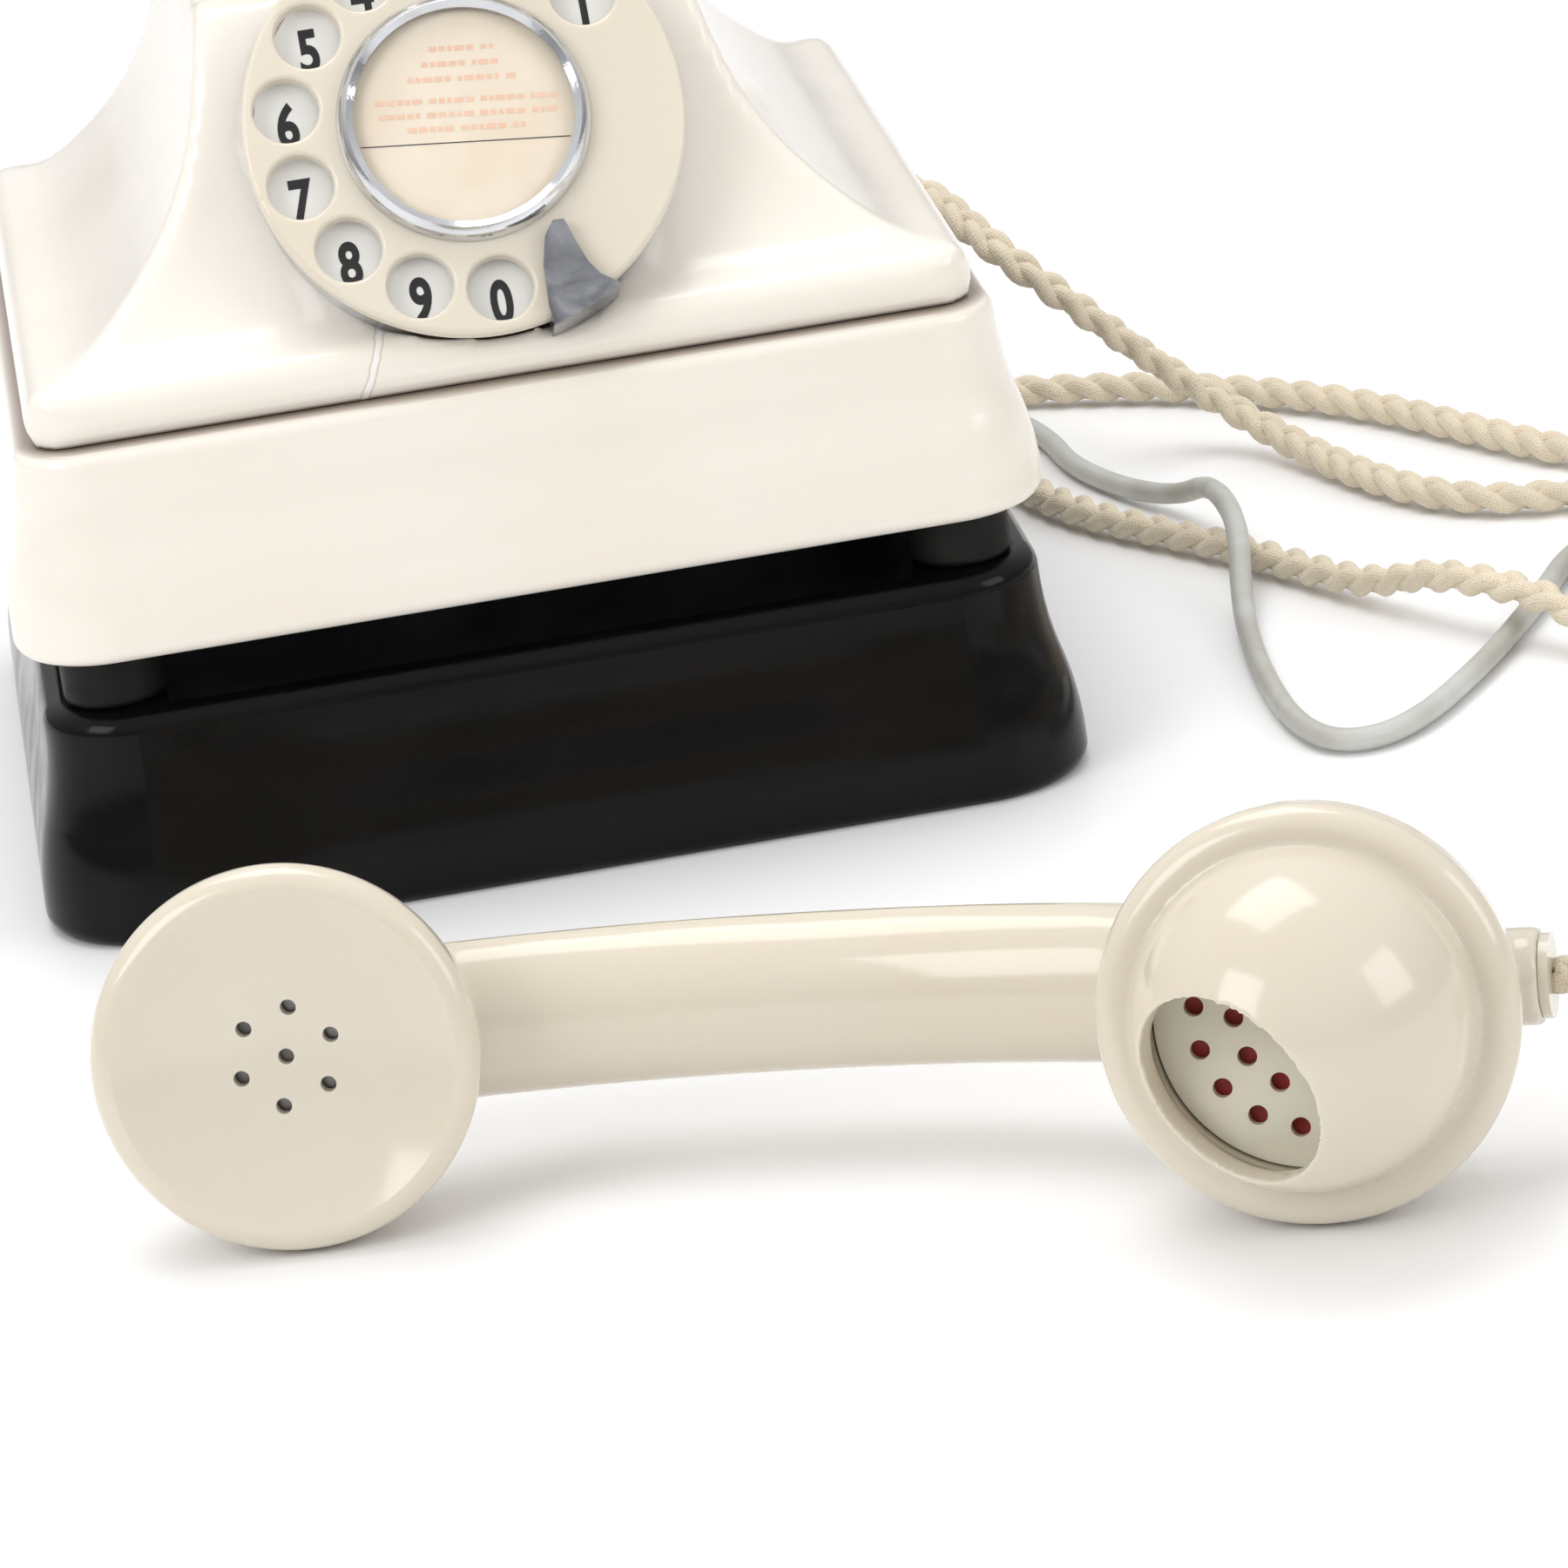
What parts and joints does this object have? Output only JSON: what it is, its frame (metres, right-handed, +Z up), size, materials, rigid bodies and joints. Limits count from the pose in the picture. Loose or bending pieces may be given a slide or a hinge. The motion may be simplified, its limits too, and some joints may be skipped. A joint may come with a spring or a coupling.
{
  "type": "rotary telephone",
  "caption": "Desk telephone with rotary dial and sprung cradle on a separate bell set, its handset lying in front, with plaited cords.",
  "frame": {"origin": "centre of the bell set's flat underside, on the table", "axes": "+X to the right of someone facing the dial, -Y towards them, +Z up"},
  "size_m": [0.4233, 0.4694, 0.19],
  "materials": {
    "black_case": "polished black moulding",
    "ivory_case": "polished ivory moulding",
    "ivory_handset": "polished cream moulding",
    "dial_plastic": "polished cream moulding",
    "chrome": "polished plating",
    "steel": "plain sheet",
    "iron": "dull iron",
    "brass": "turned",
    "copper_winding": "varnished winding",
    "enamel": "white enamel",
    "card": "printed card",
    "clear": "clear window",
    "rubber": "plain rubber",
    "insulator": "moulded block",
    "capacitor_can": "grey paint",
    "plaited_cord": "plaited textile",
    "line_cable": "grey sheath"
  },
  "bodies": {
    "body": {"bell_base_plate": "steel", "bell_capacitor": "capacitor_can", "bell_case": "black_case", "bell_terminals": "insulator", "cord_bushes": "rubber", "dial_chassis": "brass", "dial_ring": "chrome", "finger_stop": "chrome", "gong_left": "brass", "gong_posts": "steel", "gong_right": "brass", "gong_screws": "steel", "governor_cup": "brass", "handset_cord_a": "plaited_cord", "handset_cord_b": "plaited_cord", "handset_cord_coil": "plaited_cord", "impulse_contacts": "insulator", "induction_coil": "copper_winding", "line_cord": "line_cable", "line_cord_coil": "line_cable", "line_plug": "line_cable", "link_cord_a": "plaited_cord", "link_cord_b": "plaited_cord", "link_cord_coil": "plaited_cord", "machine_screws": "steel", "mainspring": "steel", "number_plate": "enamel", "phone_base_plate": "steel", "phone_capacitor": "capacitor_can", "phone_terminals": "insulator", "plinth": "ivory_case", "plunger_spring": "steel", "ringer_coils": "copper_winding", "ringer_magnet": "iron", "ringer_yoke": "iron", "rubber_feet": "rubber", "switch_bracket": "steel", "switch_pin": "steel", "switch_springs": "insulator", "upper_case": "ivory_case"},
    "dial": {"finger_plate": "dial_plastic", "dial_bezel": "chrome", "label_card": "card", "dial_window": "clear", "dial_spindle": "steel", "main_gear": "brass", "impulse_cam": "insulator"},
    "governor": {"governor_spindle": "steel", "governor_fly": "brass"},
    "plunger_bar": {"plungers": "ivory_case"},
    "switch": {"switch_lever": "brass"},
    "ringer_armature": {"armature": "iron", "clapper": "brass"},
    "handset": {"handset_handle": "ivory_handset", "handset_grommet": "rubber", "ear_cap": "ivory_handset", "receiver_capsule": "steel", "mouthpiece": "ivory_handset", "grille_disc": "ivory_handset", "transmitter_capsule": "steel"}
  },
  "joints": [
    {"name": "dial_turn", "type": "hinge", "parent": "body", "child": "dial", "pos_m": [0, -0.068, 0.131], "axis": [0, 0.866, -0.5], "range_deg": [0, 331], "stiffness_Nm_per_rad": 0.01, "springref_deg": -34.38},
    {"name": "governor_turn", "type": "hinge", "parent": "body", "child": "governor", "pos_m": [0.01006, -0.05722, 0.14968], "axis": [0, 0.866, -0.5], "range_deg": [-1911.4, 20]},
    {"name": "cradle_press", "type": "slide", "parent": "body", "child": "plunger_bar", "axis": [0, 0, -1], "range_m": [0, 0.006], "stiffness_N_per_m": 150, "springref_m": -0.003, "deforming": ["plunger_spring"]},
    {"name": "switch_swing", "type": "hinge", "parent": "body", "child": "switch", "pos_m": [0, 0.02, 0.145], "axis": [1, 0, 0], "range_deg": [0, 20]},
    {"name": "armature_rock", "type": "hinge", "parent": "body", "child": "ringer_armature", "pos_m": [0, 0.008, 0.019], "axis": [0, 0, 1], "range_deg": [-2.3, 2.3], "stiffness_Nm_per_rad": 0.002},
    {"name": "handset_lift", "type": "slide", "parent": "body", "child": "handset", "axis": [0, 0, 1], "range_m": [0, 0.1]}
  ],
  "couplings": [
    {"joint": "governor_turn", "follows": "dial_turn", "ratio": -5.7143},
    {"joint": "switch_swing", "follows": "cradle_press", "rad_per_m": 51.2}
  ]
}
